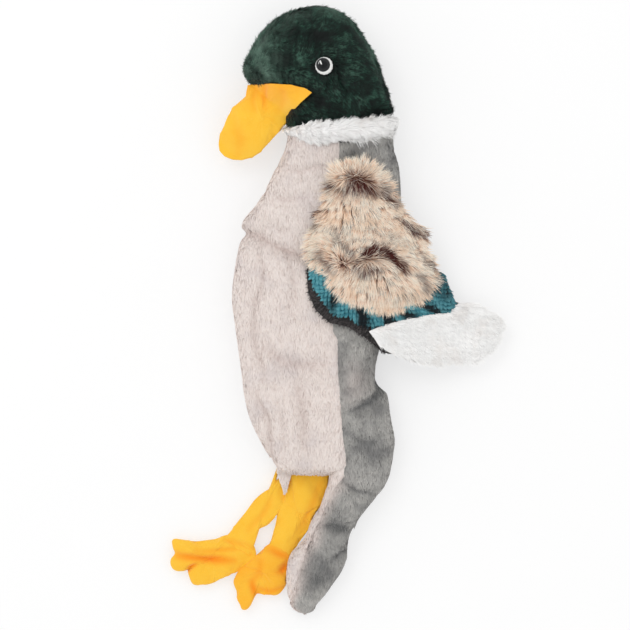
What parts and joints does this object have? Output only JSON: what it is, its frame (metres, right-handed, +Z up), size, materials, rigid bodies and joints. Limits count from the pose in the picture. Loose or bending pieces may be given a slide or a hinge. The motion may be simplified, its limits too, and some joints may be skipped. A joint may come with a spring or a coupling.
{
  "type": "duck dog toy",
  "caption": "Soft plush mallard dog toy lying flat on its side, with a stuffed squeaking head and limp hinged bill, wings, legs and tail.",
  "frame": {"origin": "on the table under the middle of the toy's box, as it lies flat on its right side", "axes": "+Y toward the head, +X toward the duck's back, +Z up from the table, out of the duck's left side"},
  "size_m": [0.261, 0.48, 0.0601],
  "materials": {
    "green_plush": "short dense dark green plush",
    "orange_fleece": "short napped yellow-orange fleece",
    "white_fur": "long off-white faux fur",
    "belly_plush": "short pale pinkish grey plush",
    "grey_plush": "short mid grey plush",
    "tan_fur": "long tan faux fur with dark brown roots",
    "teal_plush": "short teal plush with black stripes",
    "dark_lining": "brown-black short plush lining",
    "black_thread": "glossy black embroidery thread",
    "white_thread": "white embroidery thread",
    "fibre_fill": "white polyester fibre",
    "bulb_plastic": "soft translucent moulded plastic"
  },
  "bodies": {
    "body": {"belly_panel": "belly_plush", "back_panel": "grey_plush", "collar": "white_fur", "body_squeaker_bulb": "bulb_plastic", "body_squeaker_reed": "bulb_plastic"},
    "head": {"head_left_panel": "green_plush", "head_right_panel": "green_plush", "face_left_panel": "orange_fleece", "face_right_panel": "orange_fleece", "head_filling_left": "fibre_fill", "head_filling_right": "fibre_fill", "head_squeaker_bulb": "bulb_plastic", "head_squeaker_reed": "bulb_plastic", "eye_left_ring": "white_thread", "eye_left_pupil": "black_thread", "eye_right_ring": "white_thread", "eye_right_pupil": "black_thread"},
    "bill": {"bill_left_panel": "orange_fleece", "bill_right_panel": "orange_fleece"},
    "wing_left": {"wing_left_lining": "dark_lining", "wing_left_covert": "tan_fur", "wing_left_band": "teal_plush", "wing_left_tip": "white_fur"},
    "wing_right": {"wing_right_lining": "dark_lining", "wing_right_covert": "tan_fur", "wing_right_band": "teal_plush", "wing_right_tip": "white_fur"},
    "leg_left": {"leg_left": "orange_fleece"},
    "foot_left": {"foot_left": "orange_fleece"},
    "leg_right": {"leg_right": "orange_fleece"},
    "foot_right": {"foot_right": "orange_fleece"},
    "tail": {"tail_top_panel": "grey_plush", "tail_under_panel": "belly_plush"}
  },
  "joints": [
    {"name": "neck_nod", "type": "hinge", "parent": "body", "child": "head", "pos_m": [0.00099, 0.18651, 0.0295], "axis": [0, 0, 1], "range_deg": [-24, 5]},
    {"name": "bill_flap", "type": "hinge", "parent": "head", "child": "bill", "pos_m": [-0.05879, 0.15772, 0.0295], "axis": [-0.7247, 0.6891, 0], "range_deg": [0, 55]},
    {"name": "wing_left_lift", "type": "hinge", "parent": "body", "child": "wing_left", "pos_m": [-0.01651, 0.06901, 0.046], "axis": [-0.2925, -0.9563, 0], "range_deg": [0, 115]},
    {"name": "wing_right_lift", "type": "hinge", "parent": "body", "child": "wing_right", "pos_m": [-0.01651, 0.06901, 0], "axis": [0.2925, 0.9563, 0], "range_deg": [0, 115]},
    {"name": "hip_left", "type": "hinge", "parent": "body", "child": "leg_left", "pos_m": [-0.02051, -0.13429, 0.0055], "axis": [-1, 0, 0], "range_deg": [0, 90]},
    {"name": "ankle_left", "type": "hinge", "parent": "leg_left", "child": "foot_left", "pos_m": [-0.04451, -0.19224, 0.0055], "axis": [-0.9701, 0.2425, 0], "range_deg": [0, 50]},
    {"name": "hip_right", "type": "hinge", "parent": "body", "child": "leg_right", "pos_m": [-0.04231, -0.13429, 0.0055], "axis": [-1, 0, 0], "range_deg": [0, 90]},
    {"name": "ankle_right", "type": "hinge", "parent": "leg_right", "child": "foot_right", "pos_m": [-0.07651, -0.18774, 0.0055], "axis": [-0.8175, 0.576, 0], "range_deg": [0, 45]},
    {"name": "tail_lift", "type": "hinge", "parent": "body", "child": "tail", "pos_m": [-0.00151, -0.16299, 0.013], "axis": [-0.9149, 0.4036, 0], "range_deg": [0, 45]}
  ]
}
